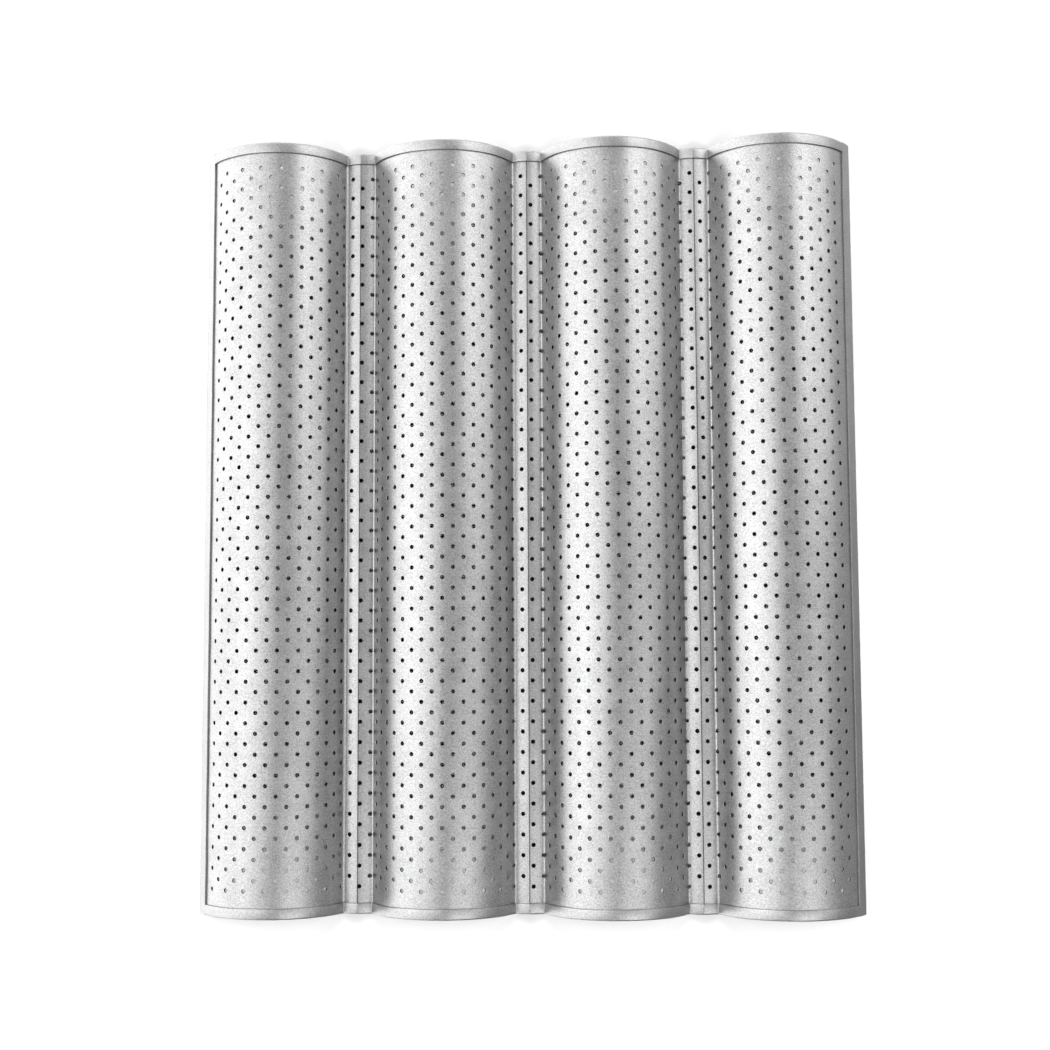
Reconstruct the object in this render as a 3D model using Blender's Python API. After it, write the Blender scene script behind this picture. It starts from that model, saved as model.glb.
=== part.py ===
"""Baguette tray: one perforated sheet bent into four round-bottomed channels.

Metres, +Z up. The tray lies with its channels arched upwards, the way it is stored or drained,
so it stands on the two low bends of each ridge and on its side hems. X runs across the
channels and Y along them. The origin is below the tray's centre, at the level it stands on.

The sheet is a single blank. Here it is divided at its bend lines and folds, and each
region is a solid of its own: four channels, the three ridges between them, the doubled
hems along both sides and the doubled hems across both ends.
"""
import math

import bpy
from mathutils import Vector

# Driving dimensions
TRAY_LENGTH = 0.381
CHANNEL_COUNT = 4
CHANNEL_PITCH = 0.0845
ARC_RADIUS = 0.0378
ARC_FACETS = 25
WALL_ANGLE = math.radians(60)
WALL_LENGTH = 0.0044
RIDGE_SLOPE = math.radians(15)
SHEET_THICKNESS = 0.0008
SEAM = 0.0001
END_HEM_WIDTH = 0.0052
SEPARATION = 0.0003

# Derived dimensions
HEM_RISE = SHEET_THICKNESS + SEAM
BEND = WALL_ANGLE + RIDGE_SLOPE
CHANNEL_HALF_WIDTH = ARC_RADIUS * math.sin(WALL_ANGLE) + WALL_LENGTH * math.cos(WALL_ANGLE)
RIDGE_HALF_WIDTH = CHANNEL_PITCH / 2 - CHANNEL_HALF_WIDTH
BEND_OVERHANG = SHEET_THICKNESS * math.tan(BEND / 2)
BEND_DEPTH = SHEET_THICKNESS * math.cos(WALL_ANGLE) + BEND_OVERHANG * math.sin(WALL_ANGLE)
ARC_CENTRE_Z = BEND_DEPTH + WALL_LENGTH * math.sin(WALL_ANGLE) - ARC_RADIUS * math.cos(WALL_ANGLE)
CREASE_Z = BEND_DEPTH + RIDGE_HALF_WIDTH * math.tan(RIDGE_SLOPE)
TRIM = SEPARATION / 2 / math.cos(BEND / 2)

SHEET_COLOUR = (0.74, 0.74, 0.75, 1.0)
HEM_COLOUR = (0.68, 0.68, 0.69, 1.0)


def clear_scene():
    for obj in list(bpy.data.objects):
        bpy.data.objects.remove(obj, do_unlink=True)


def make_collection(name):
    collection = bpy.data.collections.new(name)
    bpy.context.scene.collection.children.link(collection)
    return collection


def make_metal(name, colour, roughness):
    material = bpy.data.materials.new(name)
    material.use_nodes = True
    shader = material.node_tree.nodes["Principled BSDF"]
    shader.inputs["Base Color"].default_value = colour
    shader.inputs["Metallic"].default_value = 1.0
    shader.inputs["Roughness"].default_value = roughness
    return material


def arc_points(centre_x):
    """Upper face of one channel's arc, left to right. The middle facet is level."""
    points = []
    for step in range(ARC_FACETS + 1):
        angle = WALL_ANGLE * (2 * step / ARC_FACETS - 1)
        x = centre_x + ARC_RADIUS * math.sin(angle)
        z = ARC_CENTRE_Z + ARC_RADIUS * math.cos(angle)
        points.append(Vector((x, z)))
    return points


def sheet_path():
    """Upper face of the whole sheet from side to side, and where its regions divide.

    Returns the points and, for each channel, the indices of its first and last point.
    """
    path = []
    channel_ends = []
    for index in range(CHANNEL_COUNT):
        centre_x = (index - (CHANNEL_COUNT - 1) / 2) * CHANNEL_PITCH
        path.append(Vector((centre_x - CHANNEL_HALF_WIDTH, BEND_DEPTH)))
        first = len(path) - 1
        path.extend(arc_points(centre_x))
        path.append(Vector((centre_x + CHANNEL_HALF_WIDTH, BEND_DEPTH)))
        channel_ends.append((first, len(path) - 1))
        if index < CHANNEL_COUNT - 1:
            path.append(Vector((centre_x + CHANNEL_PITCH / 2, CREASE_Z)))

    # The outer walls reach down as far as the underside of the ridges' low bends.
    reach = Vector((math.cos(WALL_ANGLE), -math.sin(WALL_ANGLE))) * BEND_OVERHANG
    path[-1] = path[-1] + reach
    path[0] = path[0] + Vector((-reach.x, reach.y))
    return path, channel_ends


def normal(start, end):
    direction = (end - start).normalized()
    return Vector((-direction.y, direction.x))


def mitre(path, index):
    """Vector that carries a path point to a parallel path one unit above it."""
    before = normal(path[index - 1], path[index]) if index > 0 else None
    after = normal(path[index], path[index + 1]) if index < len(path) - 1 else None
    if before is None:
        return after
    if after is None:
        return before
    return (before + after) / (1 + before.dot(after))


def band(path, first, last, below, above):
    """Closed outline of the sheet between two path points, trimmed where a region adjoins."""
    upper = [path[i] + mitre(path, i) * above for i in range(first, last + 1)]
    lower = [path[i] - mitre(path, i) * below for i in range(first, last + 1)]
    if first > 0:
        inward = (path[first + 1] - path[first]).normalized() * TRIM
        upper[0] += inward
        lower[0] += inward
    if last < len(path) - 1:
        inward = (path[last - 1] - path[last]).normalized() * TRIM
        upper[-1] += inward
        lower[-1] += inward
    return upper + lower[::-1]


def extrude_outline(name, outline, front_y, rear_y, material, collection):
    """Solid with the given X-Z outline, from front_y to rear_y."""
    curve = bpy.data.curves.new(name, "CURVE")
    curve.dimensions = "2D"
    curve.fill_mode = "BOTH"
    curve.extrude = (rear_y - front_y) / 2
    spline = curve.splines.new("POLY")
    spline.points.add(len(outline) - 1)
    for point, corner in zip(spline.points, outline):
        point.co = (corner.x, corner.y, 0, 1)
    spline.use_cyclic_u = True
    curve.materials.append(material)
    obj = bpy.data.objects.new(name, curve)
    obj.rotation_euler = (math.radians(90), 0, 0)
    obj.location = (0, (front_y + rear_y) / 2, 0)
    collection.objects.link(obj)
    return obj


def add_channels(path, channel_ends, side_points, collection):
    """Each channel's walls and arc. The outer two stop where the side hems begin."""
    reach = TRAY_LENGTH / 2 - END_HEM_WIDTH - SEPARATION
    for index, (first, last) in enumerate(channel_ends):
        start = side_points if index == 0 else first
        end = len(path) - 1 - side_points if index == CHANNEL_COUNT - 1 else last
        outline = band(path, start, end, SHEET_THICKNESS, 0)
        name = f"channel_{index + 1}"
        material = make_metal(name, SHEET_COLOUR, 0.34)
        extrude_outline(name, outline, -reach, reach, material, collection)


def add_ridges(path, channel_ends, collection):
    """The creased strip between two neighbouring channels."""
    reach = TRAY_LENGTH / 2 - END_HEM_WIDTH - SEPARATION
    for index in range(CHANNEL_COUNT - 1):
        start = channel_ends[index][1]
        end = channel_ends[index + 1][0]
        outline = band(path, start, end, SHEET_THICKNESS, 0)
        name = f"ridge_{index + 1}"
        material = make_metal(name, SHEET_COLOUR, 0.34)
        extrude_outline(name, outline, -reach, reach, material, collection)


def add_end_hems(path, side_points, collection):
    """Doubled edges across both ends, which follow all the channels and ridges."""
    outer = TRAY_LENGTH / 2
    inner = outer - END_HEM_WIDTH
    last = len(path) - 1 - side_points
    for name, front_y, rear_y in (("front_hem", -outer, -inner), ("rear_hem", inner, outer)):
        outline = band(path, side_points, last, SHEET_THICKNESS, HEM_RISE)
        material = make_metal(name, HEM_COLOUR, 0.38)
        extrude_outline(name, outline, front_y, rear_y, material, collection)


def add_side_hems(path, side_points, collection):
    """Doubled edges along the outer walls, over the full length of the tray."""
    outer = TRAY_LENGTH / 2
    end = len(path) - 1
    for name, start, stop in (("left_hem", 0, side_points), ("right_hem", end - side_points, end)):
        outline = band(path, start, stop, SHEET_THICKNESS, HEM_RISE)
        material = make_metal(name, HEM_COLOUR, 0.38)
        extrude_outline(name, outline, -outer, outer, material, collection)


def main():
    clear_scene()
    tray = make_collection("baguette_tray")
    path, channel_ends = sheet_path()
    # A side hem covers the straight wall and the arc's first facet: two steps of the path.
    side_points = 2
    add_channels(path, channel_ends, side_points, tray)
    add_ridges(path, channel_ends, tray)
    add_end_hems(path, side_points, tray)
    add_side_hems(path, side_points, tray)


main()
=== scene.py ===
"""Looks of the baguette tray: the perforated sheet, its folded hems, the metal and the studio.

Metres, in the CAD's frame: X across the channels, Y along them, the channels arched upwards.
A place on the sheet is given by "across", the distance along the bent upper face from the
crest of the middle ridge, by Y, and by "rise", the height above that face.
"""
import math

import bmesh
import bpy
from mathutils import Euler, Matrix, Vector
from mathutils.geometry import delaunay_2d_cdt


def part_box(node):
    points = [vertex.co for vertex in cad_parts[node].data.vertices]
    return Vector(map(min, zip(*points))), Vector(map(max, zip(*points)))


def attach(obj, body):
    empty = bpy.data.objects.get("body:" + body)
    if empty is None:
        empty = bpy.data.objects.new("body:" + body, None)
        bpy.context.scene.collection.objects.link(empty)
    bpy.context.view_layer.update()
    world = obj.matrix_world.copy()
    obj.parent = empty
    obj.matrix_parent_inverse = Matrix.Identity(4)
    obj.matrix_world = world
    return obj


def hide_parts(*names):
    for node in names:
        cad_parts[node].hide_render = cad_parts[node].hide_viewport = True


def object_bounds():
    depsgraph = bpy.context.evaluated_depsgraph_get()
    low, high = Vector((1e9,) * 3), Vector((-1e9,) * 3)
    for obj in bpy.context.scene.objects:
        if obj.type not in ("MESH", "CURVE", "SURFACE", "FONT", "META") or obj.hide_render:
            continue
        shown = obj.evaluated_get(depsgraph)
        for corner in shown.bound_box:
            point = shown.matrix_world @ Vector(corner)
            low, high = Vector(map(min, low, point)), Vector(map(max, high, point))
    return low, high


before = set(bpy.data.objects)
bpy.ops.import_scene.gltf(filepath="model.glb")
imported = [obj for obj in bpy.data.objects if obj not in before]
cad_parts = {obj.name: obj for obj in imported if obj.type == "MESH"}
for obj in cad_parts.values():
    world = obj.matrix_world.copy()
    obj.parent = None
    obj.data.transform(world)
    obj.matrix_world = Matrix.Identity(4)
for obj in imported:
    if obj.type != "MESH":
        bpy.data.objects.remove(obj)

CAD_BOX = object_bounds()
MM = 0.001

# The sheet's bent shape, as in the CAD, with the bends rounded. A ridge's facets bulge a
# little, from the crest's slope to the foot's; between their ends they fall as in the CAD.
ARC_RADIUS = 37.8 * MM
WALL_ANGLE = math.radians(60)
WALL_LENGTH = 4.4 * MM
SHEET_THICKNESS = 0.8 * MM
BEND_RADIUS = 1.1 * MM
CREST_SLOPE = math.radians(8)
FOOT_SLOPE = math.radians(22)
CREST_RADIUS = 2.0 * MM

# The narrow line pressed along the crest of each ridge
SCORE_HALF_WIDTH = 0.3 * MM
SCORE_DEPTH = 0.45 * MM

# Fineness of the meshes: the widest step round a bend, the least gap between two mesh lines,
# and how near two points have to be for the triangulation to take them for one
STEP_ANGLE = math.radians(12.5)
LINE_GAP = 0.05 * MM
TRIANGULATION_SLACK = 1e-7

# Perforation: columns along the channels, the holes of every other column half a pitch on
HOLE_RADIUS = 1.03 * MM
HOLE_SIDES = 16
HOLE_ROLL = 0.09 * MM
HOLE_REACH = HOLE_RADIUS + HOLE_ROLL
RIM_TOLERANCE = 1.005
COLUMNS_PER_PITCH = 19.8
FIRST_COLUMN_OFFSET = 0.38
COLUMNS = range(-36, 36)
ROW_PITCH = 10 * MM
ROWS = 36
FIRST_ROW_MARGIN = 12.75 * MM

# Hems
END_HEM_WIDTH = 5.2 * MM
SIDE_HEM_WIDTH = 8.2 * MM
HEM_SEAM = 0.04 * MM
HEM_LIFT = 0.012 * MM
END_HEM_WANDER = 0.12 * MM
SIDE_HEM_WANDER = 0.15 * MM
CUT_ROUND = 0.14 * MM
CUT_STEPS = 4
FOLD_STEPS = 10
SHARP_ANGLE = math.radians(38)
END_HEM_STEP = 1.3 * MM
SIDE_HEM_STEP = 5 * MM
SLOW_RIPPLE = 9 * MM
QUICK_RIPPLE = 3.7 * MM

# Metal: scales of its patterns, in features per metre, the heights of its bumps, and how
# much of its tone and its roughness the mottling takes part in
GRAIN_SCALE = 1500
MOTTLE_SCALE = 90
WAVE_SCALE = 60
WAVE_STRETCH = (1, 0.12, 1)
GRAIN_HEIGHT = 0.04 * MM
WAVE_HEIGHT = 0.15 * MM
MOTTLE_SHARE = 0.2
MOTTLED_ROUGHNESS = 0.012

# Camera: the lens looks almost straight down on the tray
CAMERA_PLACE = (0.0345, -0.0738, 0.7936)
CAMERA_TURN = (math.radians(5.31), math.radians(2.60), math.radians(-0.50))
CAMERA_LENS = 54.8

# Studio, in metres and in units where a plain white surface is 1
FLOOR_RADIUS = 1.6
FLOOR_SIDES = 64
SHADE_DEPTH = 0.0005
CEILING = 1.55
LIGHT_LEVEL = 2.15
FILL_DISTANCE = 1.5
FILL_HEIGHT = 0.9
FILL_SIZE = (1.4, 0.8)
FILL_LEVEL = 13.0

# Ceiling softboxes: name, two (x, y) corners and brightness
CEILING_SOFTBOXES = (
    ("left_softbox", (-2.4, -0.5), (-0.1, 0.6), 0.5),
    ("front_softbox", (0.2, -1.6), (1.5, -0.3), 1.1),
    ("far_front_softbox", (1.5, -0.9), (2.7, 0.0), 0.5),
    ("rear_softbox", (0.8, 0.35), (2.0, 2.0), 1.2),
)
RIGHT_SOFTBOX_PLACE = (2.0, 1.1, 0.9)
RIGHT_SOFTBOX_SIZE = (1.8, 1.2)
RIGHT_SOFTBOX_BRIGHTNESS = 0.6

# The room that the metal reflects: its brightness all round, and what a side adds to it
ROOM_BRIGHTNESS = 0.1
ROOM_SIDES = (("X", -1, 1.2), ("Y", 1, 0.6), ("X", 1, 0.13))


# ---- The bent sheet ----

def centre_x(node):
    low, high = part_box(node)
    return (low.x + high.x) / 2


CHANNEL_PITCH = centre_x("channel_3") - centre_x("channel_2")
HALF_LENGTH = CAD_BOX[1].y
RIDGE_SLOPE = (CREST_SLOPE + FOOT_SLOPE) / 2
BEND = WALL_ANGLE + RIDGE_SLOPE
CHANNEL_HALF_WIDTH = ARC_RADIUS * math.sin(WALL_ANGLE) + WALL_LENGTH * math.cos(WALL_ANGLE)
RIDGE_HALF_WIDTH = CHANNEL_PITCH / 2 - CHANNEL_HALF_WIDTH
BEND_OVERHANG = SHEET_THICKNESS * math.tan(BEND / 2)
BEND_DEPTH = SHEET_THICKNESS * math.cos(WALL_ANGLE) + BEND_OVERHANG * math.sin(WALL_ANGLE)
CREST_CORNER_Z = BEND_DEPTH + RIDGE_HALF_WIDTH * math.tan(RIDGE_SLOPE)
CREST_TOP = CREST_CORNER_Z - CREST_RADIUS * (1 / math.cos(CREST_SLOPE) - 1)


def heading_vector(heading):
    return Vector((math.cos(heading), math.sin(heading)))


def fit_facet():
    """Length of a facet's arc, and of the part of the wall that the low bend takes up.

    The facet's chord and the low bend together lead from the crest's end to the wall.
    """
    crest_fall = CREST_RADIUS * (1 - math.cos(CREST_SLOPE))
    crest_end = Vector((CREST_RADIUS * math.sin(CREST_SLOPE), CREST_TOP - crest_fall))
    bend_width = math.sin(WALL_ANGLE) + math.sin(FOOT_SLOPE)
    bend_rise = math.cos(FOOT_SLOPE) - math.cos(WALL_ANGLE)
    corner = Vector((RIDGE_HALF_WIDTH, BEND_DEPTH))
    gap = corner - crest_end - Vector((bend_width, bend_rise)) * BEND_RADIUS
    facet = heading_vector(-RIDGE_SLOPE)
    wall = heading_vector(WALL_ANGLE)
    spread = facet.cross(wall)
    half_turn = (FOOT_SLOPE - CREST_SLOPE) / 2
    chord = gap.cross(wall) / spread
    return chord * half_turn / math.sin(half_turn), gap.cross(facet) / spread


def sheet_runs():
    """Right half of the upper face as runs of (length, turn), from the middle crest outwards."""
    facet_length, bend_trim = fit_facet()
    wall = WALL_LENGTH - bend_trim
    # The outer wall goes on until its rounded edge reaches the floor.
    edge_radius = SHEET_THICKNESS + HEM_SEAM / 2
    wall_top_z = BEND_DEPTH + WALL_LENGTH * math.sin(WALL_ANGLE)
    outer_wall = (wall_top_z - edge_radius) / math.sin(WALL_ANGLE) + edge_radius
    low_turn = WALL_ANGLE + FOOT_SLOPE
    low_bend = (BEND_RADIUS * low_turn, low_turn)
    arc = (ARC_RADIUS * 2 * WALL_ANGLE, -2 * WALL_ANGLE)
    half_crest = (CREST_RADIUS * CREST_SLOPE, -CREST_SLOPE)
    crest = (2 * half_crest[0], 2 * half_crest[1])
    facet = (facet_length, CREST_SLOPE - FOOT_SLOPE)
    channel = [low_bend, (wall, 0), arc, (wall, 0), low_bend]
    last_channel = [low_bend, (wall, 0), arc, (outer_wall, 0)]
    return [half_crest, facet, *channel, facet, crest, facet, *last_channel]


def advance(point, heading, length, turn, distance):
    """Point and heading after a distance along a run."""
    if turn == 0:
        return point + heading_vector(heading) * distance, heading
    curvature = turn / length
    new_heading = heading + curvature * distance
    shift_x = (math.sin(new_heading) - math.sin(heading)) / curvature
    shift_z = (math.cos(heading) - math.cos(new_heading)) / curvature
    return point + Vector((shift_x, shift_z)), new_heading


def lay_out_runs():
    """Adds to each run where it starts: (start, length, turn, point, heading)."""
    point = Vector((0, CREST_TOP))
    heading = 0.0
    start = 0.0
    runs = []
    for length, turn in sheet_runs():
        runs.append((start, length, turn, point, heading))
        point, heading = advance(point, heading, length, turn, length)
        start += length
    return runs


RUNS = lay_out_runs()
# Where some runs are in the list: the low bends, and the crest of the outer ridge
LOW_BEND_RUNS = (2, 6, 10)
SIDE_CREST_RUN = 8


def run_middle(index):
    start, length = RUNS[index][:2]
    return start + length / 2


EDGE = RUNS[-1][0] + RUNS[-1][1]
SIDE_CREST = run_middle(SIDE_CREST_RUN)
CRESTS = (-SIDE_CREST, 0.0, SIDE_CREST)
COLUMN_PITCH = SIDE_CREST / COLUMNS_PER_PITCH
# The channels and ridges meet in the middles of the low bends.
BENDS = [run_middle(index) for index in LOW_BEND_RUNS]


def upper_face(across):
    """Point and upward normal of the upper face, both in the X-Z plane."""
    distance = abs(across)
    run = RUNS[0]
    for candidate in RUNS:
        if candidate[0] <= distance:
            run = candidate
    start, length, turn, point, heading = run
    point, heading = advance(point, heading, length, turn, distance - start)
    side = -1 if across < 0 else 1
    return Vector((point.x * side, point.y)), Vector((-math.sin(heading) * side, math.cos(heading)))


def place(across, y, rise):
    """Point in space of a place on the sheet."""
    point, normal = upper_face(across)
    spot = point + normal * rise
    return Vector((spot.x, y, spot.y))


def upward(across):
    normal = upper_face(across)[1]
    return Vector((normal.x, 0, normal.y))


def crest_distance(across):
    return min(abs(across - crest) for crest in CRESTS)


def score_depth(across):
    """Depth of the narrow pressed line along the crest of each ridge."""
    return max(0.0, SCORE_DEPTH * (1 - crest_distance(across) / SCORE_HALF_WIDTH))


def bend_lines(first, last):
    """Places across the sheet where a mesh needs a line so that its bends come out round."""
    lines = []
    for start, length, turn, _, _ in RUNS:
        if turn == 0 or length > ARC_RADIUS:
            steps = 1
        else:
            steps = math.ceil(abs(turn) / STEP_ANGLE)
        for step in range(steps + 1):
            spot = start + length * step / steps
            lines.extend((spot, -spot))
    for crest in CRESTS:
        lines.extend((crest - SCORE_HALF_WIDTH, crest, crest + SCORE_HALF_WIDTH))
    return [line for line in lines if first < line < last]


def merge_close(lines):
    """Sorted lines without those that lie too near the one before."""
    kept = []
    for line in sorted(lines):
        if not kept or line - kept[-1] > LINE_GAP:
            kept.append(line)
    return kept


# ---- Mesh helpers ----

def new_object(name, mesh, material):
    mesh.materials.append(material)
    obj = bpy.data.objects.new(name, mesh)
    bpy.context.scene.collection.objects.link(obj)
    return obj


def register(obj, node):
    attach(obj, "root")
    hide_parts(node)


# ---- Perforated panels ----

def column_across(column):
    return (column + FIRST_COLUMN_OFFSET) * COLUMN_PITCH


def column_start(column):
    """Y of a column's first hole, near the rear end."""
    first = HALF_LENGTH - FIRST_ROW_MARGIN
    return first if column % 2 == 1 else first - ROW_PITCH / 2


def nearest_hole(across, y):
    column = round(across / COLUMN_PITCH - FIRST_COLUMN_OFFSET)
    column = min(max(column, COLUMNS[0]), COLUMNS[-1])
    row = round((column_start(column) - y) / ROW_PITCH)
    row = min(max(row, 0), ROWS - 1)
    return Vector((column_across(column), column_start(column) - row * ROW_PITCH))


def on_rim(spot):
    """True for a place on a hole's rolled edge."""
    return (spot - nearest_hole(spot.x, spot.y)).length < HOLE_REACH * RIM_TOLERANCE


def hole_outlines(first, last):
    """Outer edges of the rolled rims of all holes that reach into a flat panel."""
    outlines = []
    for column in COLUMNS:
        across = column_across(column)
        if not first - HOLE_REACH < across < last + HOLE_REACH:
            continue
        for row in range(ROWS):
            centre = Vector((across, column_start(column) - row * ROW_PITCH))
            outline = []
            for side in range(HOLE_SIDES):
                angle = 2 * math.pi * side / HOLE_SIDES
                outline.append(centre + heading_vector(angle) * HOLE_REACH)
            outlines.append(outline)
    return outlines


def flat_panel(first, last, reach):
    """Triangles of a flat perforated panel: the places of its points and its triangles."""
    points = [Vector((first, -reach)), Vector((last, -reach))]
    points += [Vector((last, reach)), Vector((first, reach))]
    faces = [[0, 1, 2, 3]]
    for outline in hole_outlines(first, last):
        faces.append(list(range(len(points), len(points) + HOLE_SIDES)))
        points.extend(outline)
    # Lines along the bends, along the columns and halfway between keep the bent mesh round.
    # They go on for two columns' width past the outermost holes.
    lines = bend_lines(first, last)
    for half_column in range(2 * COLUMNS[0] - 4, 2 * COLUMNS[-1] + 5):
        across = column_across(half_column / 2)
        if first < across < last:
            lines.append(across)
    spans = round(4 * reach / ROW_PITCH)
    edges = []
    for across in merge_close(lines):
        for span in range(spans + 1):
            if span > 0:
                edges.append((len(points) - 1, len(points)))
            points.append(Vector((across, reach * (2 * span / spans - 1))))
    result = delaunay_2d_cdt(points, edges, faces, 0, TRIANGULATION_SLACK)
    spots, _, triangles, _, _, origins = result
    # A triangle in a hole comes from two of the given faces, the panel's and the hole's.
    return spots, [triangle for triangle, origin in zip(triangles, origins) if origin == [0]]


def outer_edges(triangles):
    """Directed edges that only one triangle has: the panel's border and the holes' rims."""
    edges = set()
    for triangle in triangles:
        for start, end in zip(triangle, triangle[1:] + triangle[:1]):
            if (end, start) in edges:
                edges.remove((end, start))
            else:
                edges.add((start, end))
    return sorted(edges)


def panel_points(spots):
    """Points of a bent panel, and for each spot its point on the upper and on the lower face.

    A spot on a rim also has a point at the lower end of the rolled edge.
    """
    points = []
    top = []
    rolled = {}
    bottom = []
    for index, spot in enumerate(spots):
        top.append(len(points))
        points.append(place(spot.x, spot.y, -score_depth(spot.x)))
        below = spot
        if on_rim(spot):
            centre = nearest_hole(spot.x, spot.y)
            below = centre + (spot - centre) * (HOLE_RADIUS / HOLE_REACH)
            rolled[index] = len(points)
            points.append(place(below.x, below.y, -HOLE_ROLL))
        bottom.append(len(points))
        points.append(place(below.x, below.y, -SHEET_THICKNESS))
    return points, top, rolled, bottom


def punched_panel(name, first, last, reach, materials):
    """Sheet between two places across, bent to shape, with its holes punched through.

    The walls of the holes get the second material.
    """
    spots, triangles = flat_panel(first, last, reach)
    points, top, rolled, bottom = panel_points(spots)
    faces = [[top[i] for i in triangle] for triangle in triangles]
    faces += [[bottom[i] for i in reversed(triangle)] for triangle in triangles]
    walls = []
    for start, end in outer_edges(triangles):
        if on_rim((spots[start] + spots[end]) / 2):
            faces.append([top[end], top[start], rolled[start], rolled[end]])
            walls.append([rolled[end], rolled[start], bottom[start], bottom[end]])
        else:
            faces.append([top[end], top[start], bottom[start], bottom[end]])

    mesh = bpy.data.meshes.new(name)
    mesh.from_pydata(points, [], faces + walls)
    shade_panel(mesh, spots, triangles)
    panel = new_object(name, mesh, materials[0])
    mesh.materials.append(materials[1])
    for wall in mesh.polygons[len(faces):]:
        wall.material_index = 1
    return panel


def shade_panel(mesh, spots, triangles):
    """Gives both faces the bent sheet's true normals; scored lines and cut edges stay flat."""
    upward_at = [upward(spot.x) for spot in spots]
    flat = Vector((0, 0, 0))
    normals = []
    smooth = []
    for triangle in triangles:
        middle = sum(spots[i].x for i in triangle) / 3
        scored = crest_distance(middle) < SCORE_HALF_WIDTH
        smooth.append(not scored)
        normals += [flat if scored else upward_at[i] for i in triangle]
    for triangle in triangles:
        smooth.append(True)
        normals += [-upward_at[i] for i in reversed(triangle)]
    smooth += [False] * (len(mesh.polygons) - len(smooth))
    normals += [flat] * (len(mesh.loops) - len(normals))
    mesh.polygons.foreach_set("use_smooth", smooth)
    mesh.normals_split_custom_set(normals)


def add_panels(materials):
    reach = HALF_LENGTH - END_HEM_WIDTH
    side = EDGE - SIDE_HEM_WIDTH
    bounds = [-side, -BENDS[2], -BENDS[1], -BENDS[0], BENDS[0], BENDS[1], BENDS[2], side]
    names = ["channel_1", "ridge_1", "channel_2", "ridge_2", "channel_3", "ridge_3", "channel_4"]
    for name, first, last in zip(names, bounds, bounds[1:]):
        panel = punched_panel(f"{name}_sheet", first, last, reach, materials)
        register(panel, name)


# ---- Hems ----

def fold_section(width, wander, lift):
    """Closed outline of a folded edge as (distance in from the edge, rise).

    The sheet's own layer ends at the width. The flap above it ends in a cut edge that
    wanders from the width and is lifted a little. The outline begins with the cut edge.
    """
    outer = SHEET_THICKNESS + HEM_SEAM / 2
    middle = HEM_SEAM / 2
    cut = width + wander
    top = HEM_SEAM + SHEET_THICKNESS + lift
    outline = []
    for step in range(CUT_STEPS + 1):
        angle = math.pi / 2 * step / CUT_STEPS
        across = cut - CUT_ROUND * (1 - math.sin(angle))
        outline.append((across, top - CUT_ROUND * (1 - math.cos(angle))))
    outline.append((cut, HEM_SEAM + lift))
    outline.append((outer, HEM_SEAM))
    outline.append((outer - HEM_SEAM, middle))
    outline.append((outer, 0))
    outline.append((width, 0))
    outline.append((width, -SHEET_THICKNESS))
    for step in range(FOLD_STEPS + 1):
        angle = math.pi * step / FOLD_STEPS
        outline.append((outer - outer * math.sin(angle), middle - outer * math.cos(angle)))
    return outline


def tube_mesh(name, rings):
    """Closed tube through rings of points, capped at both ends."""
    size = len(rings[0])
    points = [point for ring in rings for point in ring]
    faces = [list(range(size)), list(range(len(points) - 1, len(points) - size - 1, -1))]
    for ring in range(len(rings) - 1):
        for corner in range(size):
            following = (corner + 1) % size
            start = ring * size
            end = start + size
            faces.append([start + following, start + corner, end + corner, end + following])
    mesh = bpy.data.meshes.new(name)
    mesh.from_pydata(points, [], faces)
    tidy = bmesh.new()
    tidy.from_mesh(mesh)
    bmesh.ops.recalc_face_normals(tidy, faces=tidy.faces)
    tidy.to_mesh(mesh)
    tidy.free()
    mesh.shade_smooth()
    mesh.set_sharp_from_angle(angle=SHARP_ANGLE)
    return mesh


def add_fold(node, rings, materials):
    """Folded edge through rings of points. Its cut edge gets the second material."""
    mesh = tube_mesh(f"{node}_fold", rings)
    fold = new_object(f"{node}_fold", mesh, materials[0])
    mesh.materials.append(materials[1])
    # The two caps come first; after them, each ring's faces begin with the cut edge.
    for face in mesh.polygons[2:]:
        if (face.index - 2) % len(rings[0]) <= CUT_STEPS:
            face.material_index = 1
    register(fold, node)


def ripple(distance, phase):
    """Slow uneven wave between about -1 and 1 along a hem."""
    slow = math.sin(distance / SLOW_RIPPLE + phase)
    quick = math.sin(distance / QUICK_RIPPLE + 2.3 * phase)
    return 0.6 * slow + 0.4 * quick


def add_end_hem(node, end, phase, materials):
    """Folded edge across one end; end is 1 for the rear and -1 for the front."""
    side = EDGE - SIDE_HEM_WIDTH
    lines = bend_lines(-side, side) + [-side, side]
    spans = round(2 * side / END_HEM_STEP)
    lines += [side * (2 * span / spans - 1) for span in range(1, spans)]
    rings = []
    for across in merge_close(lines):
        wave = ripple(across, phase)
        section = fold_section(END_HEM_WIDTH, END_HEM_WANDER * wave, HEM_LIFT * wave)
        ring = []
        for inward, rise in section:
            ring.append(place(across, end * (HALF_LENGTH - inward), rise))
        rings.append(ring)
    add_fold(node, rings, materials)


def add_side_hem(node, side, phase, materials):
    """Folded edge along one outer wall; side is 1 for the right and -1 for the left."""
    spans = round(2 * HALF_LENGTH / SIDE_HEM_STEP)
    rings = []
    for span in range(spans + 1):
        y = HALF_LENGTH * (2 * span / spans - 1)
        wave = ripple(y, phase)
        section = fold_section(SIDE_HEM_WIDTH, SIDE_HEM_WANDER * wave, HEM_LIFT * wave)
        rings.append([place(side * (EDGE - inward), y, rise) for inward, rise in section])
    add_fold(node, rings, materials)


# ---- Materials ----

def add_node(tree, kind, **settings):
    node = tree.nodes.new(kind)
    for name, value in settings.items():
        node.inputs[name].default_value = value
    return node


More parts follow.
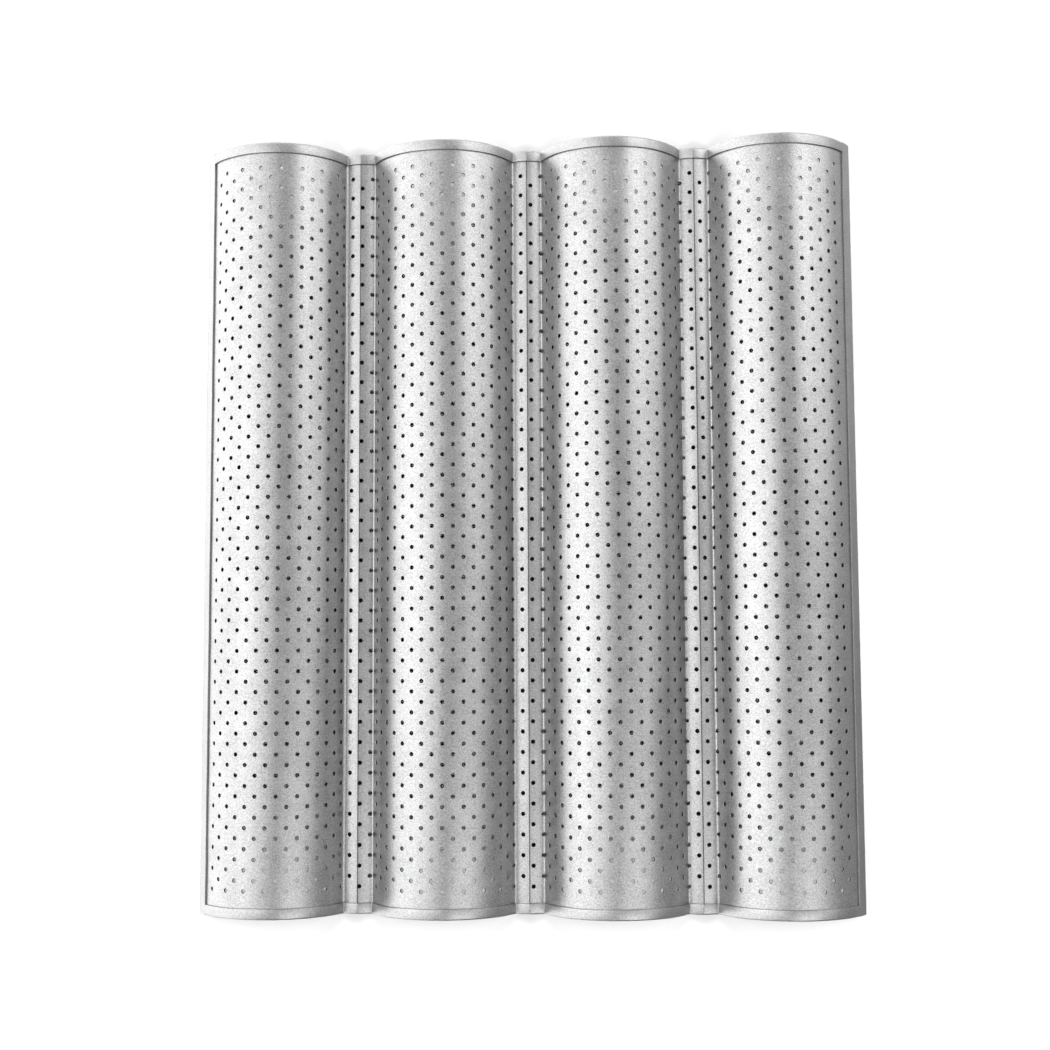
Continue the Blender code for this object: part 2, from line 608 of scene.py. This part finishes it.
def noise(tree, coordinates, scale, detail):
    node = add_node(tree, "ShaderNodeTexNoise", Scale=scale, Detail=detail)
    tree.links.new(coordinates, node.inputs["Vector"])
    return node.outputs["Fac"]


def remap(tree, value, low, high):
    """Stretches a noise's middle part over a range."""
    node = tree.nodes.new("ShaderNodeMapRange")
    node.inputs["From Min"].default_value = 0.3
    node.inputs["From Max"].default_value = 0.7
    node.inputs["To Min"].default_value = low
    node.inputs["To Max"].default_value = high
    tree.links.new(value, node.inputs["Value"])
    return node.outputs["Result"]


def mix_colours(tree, factor, dark, light):
    node = tree.nodes.new("ShaderNodeValToRGB")
    node.color_ramp.elements[0].color = dark
    node.color_ramp.elements[1].color = light
    tree.links.new(factor, node.inputs["Fac"])
    return node.outputs["Color"]


def add_bump(tree, height, strength, distance):
    node = add_node(tree, "ShaderNodeBump", Strength=strength, Distance=distance)
    tree.links.new(height, node.inputs["Height"])
    return node


def metal(name, dark, light, roughness):
    """Satin aluminium: fine speckled grain, faint mottling and slow waves in the sheet."""
    material = bpy.data.materials.new(name)
    material.use_nodes = True
    tree = material.node_tree
    shader = tree.nodes["Principled BSDF"]
    shader.inputs["Metallic"].default_value = 1.0
    coordinates = tree.nodes.new("ShaderNodeTexCoord").outputs["Object"]

    grain = noise(tree, coordinates, GRAIN_SCALE, 2)
    mottle = noise(tree, coordinates, MOTTLE_SCALE, 4)
    stretch = add_node(tree, "ShaderNodeMapping", Scale=WAVE_STRETCH)
    tree.links.new(coordinates, stretch.inputs["Vector"])
    waves = noise(tree, stretch.outputs["Vector"], WAVE_SCALE, 1)

    tone = tree.nodes.new("ShaderNodeMath")
    tone.operation = "MULTIPLY_ADD"
    tone.inputs[1].default_value = MOTTLE_SHARE
    tree.links.new(remap(tree, mottle, 0, 1), tone.inputs[0])
    tree.links.new(remap(tree, grain, 0, 1 - MOTTLE_SHARE), tone.inputs[2])
    tree.links.new(mix_colours(tree, tone.outputs[0], dark, light), shader.inputs["Base Color"])
    mottled = remap(tree, mottle, roughness - MOTTLED_ROUGHNESS, roughness + MOTTLED_ROUGHNESS)
    tree.links.new(mottled, shader.inputs["Roughness"])

    wave_bump = add_bump(tree, waves, 0.2, WAVE_HEIGHT)
    grain_bump = add_bump(tree, grain, 0.7, GRAIN_HEIGHT)
    tree.links.new(wave_bump.outputs["Normal"], grain_bump.inputs["Normal"])
    tree.links.new(grain_bump.outputs["Normal"], shader.inputs["Normal"])
    return material


# ---- Studio ----

def add_floor():
    """Round floor that ends where it is still as white as the background."""
    mesh = bpy.data.meshes.new("floor")
    corners = []
    for side in range(FLOOR_SIDES):
        angle = 2 * math.pi * side / FLOOR_SIDES
        corners.append((FLOOR_RADIUS * math.cos(angle), FLOOR_RADIUS * math.sin(angle), 0))
    mesh.from_pydata(corners, [], [list(range(FLOOR_SIDES))])
    material = bpy.data.materials.new("floor")
    material.use_nodes = True
    shader = material.node_tree.nodes["Principled BSDF"]
    shader.inputs["Base Color"].default_value = (0.5, 0.5, 0.5, 1)
    shader.inputs["Roughness"].default_value = 0.9
    shader.inputs["Specular IOR Level"].default_value = 0.1
    floor = new_object("floor", mesh, material)
    floor.visible_glossy = False


def add_floor_shade():
    """Dark plate of painted shade below the tray: the shaded floor as the hole walls and the sheet's
    inner side reflect it.
    """
    mesh = bpy.data.meshes.new("floor_shade")
    low, high = CAD_BOX
    corners = [(low.x, low.y), (high.x, low.y), (high.x, high.y), (low.x, high.y)]
    mesh.from_pydata([(x, y, -SHADE_DEPTH) for x, y in corners], [], [(0, 1, 2, 3)])
    material = bpy.data.materials.new("floor_shade")
    material.use_nodes = True
    shader = material.node_tree.nodes["Principled BSDF"]
    # Painted shade: the dark grey stands for the floor lying in the tray's shadow.
    shader.inputs["Base Color"].default_value = (0.12, 0.12, 0.12, 1)
    shade = new_object("floor_shade", mesh, material)
    shade.visible_camera = False
    shade.visible_diffuse = False
    shade.visible_shadow = False


def add_softbox(name, spot, target, size, brightness):
    light = bpy.data.lights.new(name, "AREA")
    light.shape = "RECTANGLE"
    light.size, light.size_y = size
    light.energy = math.pi * size[0] * size[1] * brightness
    obj = bpy.data.objects.new(name, light)
    obj.location = spot
    obj.rotation_euler = (Vector(target) - Vector(spot)).to_track_quat("-Z", "Y").to_euler()
    obj.visible_camera = False
    obj.visible_diffuse = False
    bpy.context.scene.collection.objects.link(obj)
    return obj


def add_ceiling_softbox(name, low, high, brightness):
    """Level softbox between two (x, y) corners, facing down."""
    middle_x = (low[0] + high[0]) / 2
    middle_y = (low[1] + high[1]) / 2
    size = (high[0] - low[0], high[1] - low[1])
    add_softbox(name, (middle_x, middle_y, CEILING), (middle_x, middle_y, 0), size, brightness)


def add_lights():
    for name, low, high, brightness in CEILING_SOFTBOXES:
        add_ceiling_softbox(name, low, high, brightness * LIGHT_LEVEL)
    target = (0, *RIGHT_SOFTBOX_PLACE[1:])
    brightness = RIGHT_SOFTBOX_BRIGHTNESS * LIGHT_LEVEL
    add_softbox("right_softbox", RIGHT_SOFTBOX_PLACE, target, RIGHT_SOFTBOX_SIZE, brightness)
    # The softboxes are there for the metal. Low lights all round whiten the floor instead.
    for index in range(4):
        angle = math.pi / 2 * index
        spot = (FILL_DISTANCE * math.cos(angle), FILL_DISTANCE * math.sin(angle), FILL_HEIGHT)
        fill = add_softbox(f"floor_fill_{index + 1}", spot, (0, 0, 0), FILL_SIZE, FILL_LEVEL)
        fill.visible_diffuse = True
        fill.visible_glossy = False


def room_light(tree):
    """Brightness of the reflected room: more where a direction points to a bright side."""
    axes = tree.nodes.new("ShaderNodeSeparateXYZ")
    tree.links.new(tree.nodes.new("ShaderNodeTexCoord").outputs["Generated"], axes.inputs[0])
    light = None
    for axis, sign, brightness in ROOM_SIDES:
        side = tree.nodes.new("ShaderNodeMath")
        side.operation = "MULTIPLY"
        side.use_clamp = True
        side.inputs[1].default_value = sign
        tree.links.new(axes.outputs[axis], side.inputs[0])
        total = tree.nodes.new("ShaderNodeMath")
        total.operation = "MULTIPLY_ADD"
        total.inputs[1].default_value = brightness * LIGHT_LEVEL
        tree.links.new(side.outputs[0], total.inputs[0])
        if light is None:
            total.inputs[2].default_value = ROOM_BRIGHTNESS * LIGHT_LEVEL
        else:
            tree.links.new(light, total.inputs[2])
        light = total.outputs[0]
    return light


def add_world():
    """White for the camera; the metal reflects a room that is bright on the left and at the rear."""
    world = bpy.data.worlds.new("studio")
    world.use_nodes = True
    tree = world.node_tree
    room = tree.nodes["Background"]
    tree.links.new(room_light(tree), room.inputs["Strength"])
    room.inputs["Color"].default_value = (1, 1, 1, 1)
    white = tree.nodes.new("ShaderNodeBackground")
    white.inputs["Color"].default_value = (1, 1, 1, 1)
    path = tree.nodes.new("ShaderNodeLightPath")
    mix = tree.nodes.new("ShaderNodeMixShader")
    tree.links.new(path.outputs["Is Camera Ray"], mix.inputs["Fac"])
    tree.links.new(room.outputs["Background"], mix.inputs[1])
    tree.links.new(white.outputs["Background"], mix.inputs[2])
    tree.links.new(mix.outputs["Shader"], tree.nodes["World Output"].inputs["Surface"])
    world.cycles_visibility.diffuse = False
    bpy.context.scene.world = world


def add_camera():
    camera = bpy.data.cameras.new("camera")
    camera.lens = CAMERA_LENS
    camera.clip_start = 0.01
    obj = bpy.data.objects.new("camera", camera)
    obj.rotation_mode = "ZYX"
    obj.rotation_euler = Euler(CAMERA_TURN, "ZYX")
    obj.location = CAMERA_PLACE
    bpy.context.scene.collection.objects.link(obj)
    bpy.context.scene.camera = obj


def main():
    add_camera()
    add_floor()
    add_floor_shade()
    add_lights()
    add_world()
    bpy.context.scene.view_settings.view_transform = "Standard"
    sheet = metal("sheet_metal", (0.23, 0.23, 0.232, 1), (0.47, 0.47, 0.472, 1), 0.35)
    hem = metal("hem_metal", (0.25, 0.25, 0.252, 1), (0.44, 0.44, 0.442, 1), 0.36)
    # Painted shade: the hole walls are nearly black and stand for the shade inside the holes and
    # under the tray, so they catch no glints.
    hole_wall_painted_shade = metal("hole_wall_painted_shade", (0.08, 0.08, 0.08, 1), (0.2, 0.2, 0.2, 1), 0.5)
    # Cut edges of the hems: rougher than the sheet, and darker with painted shade that stands for
    # the shadowed seam along each hem.
    cut = metal("cut_edge_painted_shade", (0.17, 0.17, 0.17, 1), (0.33, 0.33, 0.33, 1), 0.5)
    add_panels((sheet, hole_wall_painted_shade))
    add_end_hem("front_hem", -1, 0.4, (hem, cut))
    add_end_hem("rear_hem", 1, 2.1, (hem, cut))
    add_side_hem("left_hem", -1, 1.3, (hem, cut))
    add_side_hem("right_hem", 1, 3.2, (hem, cut))


main()
